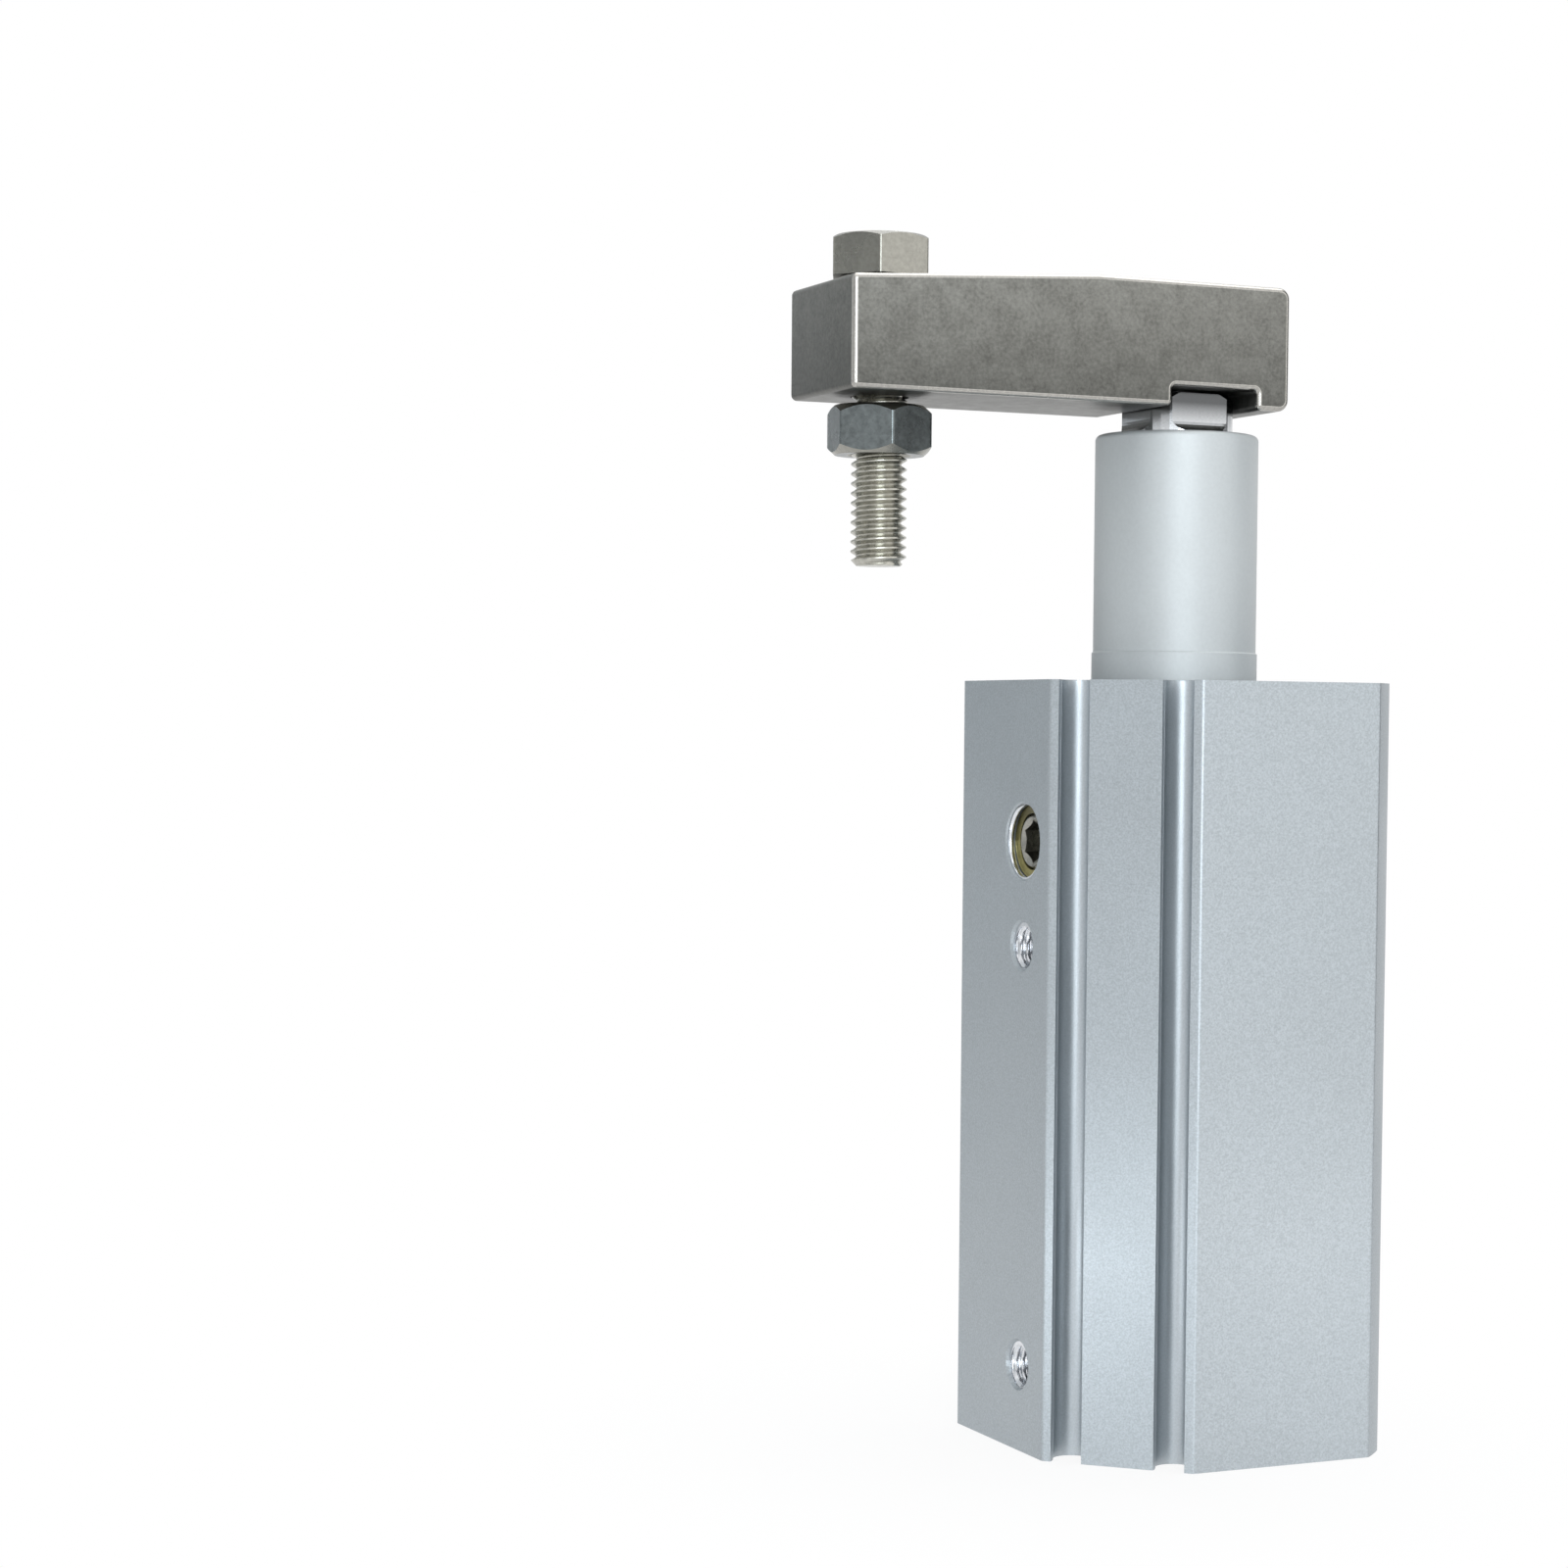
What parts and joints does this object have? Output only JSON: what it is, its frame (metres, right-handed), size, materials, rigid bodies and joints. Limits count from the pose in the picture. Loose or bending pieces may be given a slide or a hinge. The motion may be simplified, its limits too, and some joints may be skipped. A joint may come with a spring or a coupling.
{
  "type": "swing clamp cylinder",
  "caption": "Compact square-bodied swing clamp cylinder whose rod lifts and turns an arm with a clamping bolt.",
  "frame": {"origin": "middle of the whole clamp's plan, at the height of the barrel's bottom face; the rod's axis is 11.8 mm from it along +X", "axes": "+Z along the rod, towards the arm; -X is the side with the ports, which the arm points over when clamped; -Y is the side seen widest in the picture"},
  "size_m": [0.0596, 0.036, 0.1279],
  "materials": {
    "anodised_body": "bead-blasted, anodised",
    "coated_cover": "smooth light coating",
    "machined_aluminium": "machined",
    "arm_steel": "satin nickel plated",
    "stainless": "turned",
    "rod_chrome": "hard chrome",
    "spring_steel": "dark",
    "black_steel": "black oxide",
    "bush_bronze": "sintered",
    "seal_ring": "yellow plated",
    "seal_rubber": "matte",
    "bumper_elastomer": "matte",
    "guide_resin": "matte",
    "bonded_magnet": "matte"
  },
  "bodies": {
    "barrel": {"cylinder_body": "anodised_body", "head_cover": "machined_aluminium", "head_cover_oring": "seal_rubber", "head_retaining_ring": "spring_steel", "head_bumper": "bumper_elastomer", "rod_bumper": "bumper_elastomer", "rod_cover": "coated_cover", "rod_cover_oring": "seal_rubber", "cover_retaining_ring": "spring_steel", "rod_bush": "bush_bronze", "rod_seal": "seal_rubber", "rod_wiper": "seal_rubber", "guide_screw": "stainless", "guide_screw_seal": "seal_ring"},
    "piston_rings": {"piston_seal": "seal_rubber", "piston_wear_ring": "guide_resin"},
    "rod_and_arm": {"piston": "machined_aluminium", "piston_magnet": "bonded_magnet", "piston_screw": "black_steel", "piston_rod": "rod_chrome", "clamp_arm": "arm_steel", "arm_screw": "black_steel", "clamp_bolt": "stainless", "lock_nut": "stainless"}
  },
  "joints": [
    {"name": "stroke", "type": "slide", "parent": "barrel", "child": "piston_rings", "axis": [0, 0, 1], "range_m": [0, 0.0295]},
    {"name": "swing", "type": "hinge", "parent": "piston_rings", "child": "rod_and_arm", "pos_m": [0.0118, 0, 0], "axis": [0, 0, 1], "range_deg": [0, 90]}
  ]
}
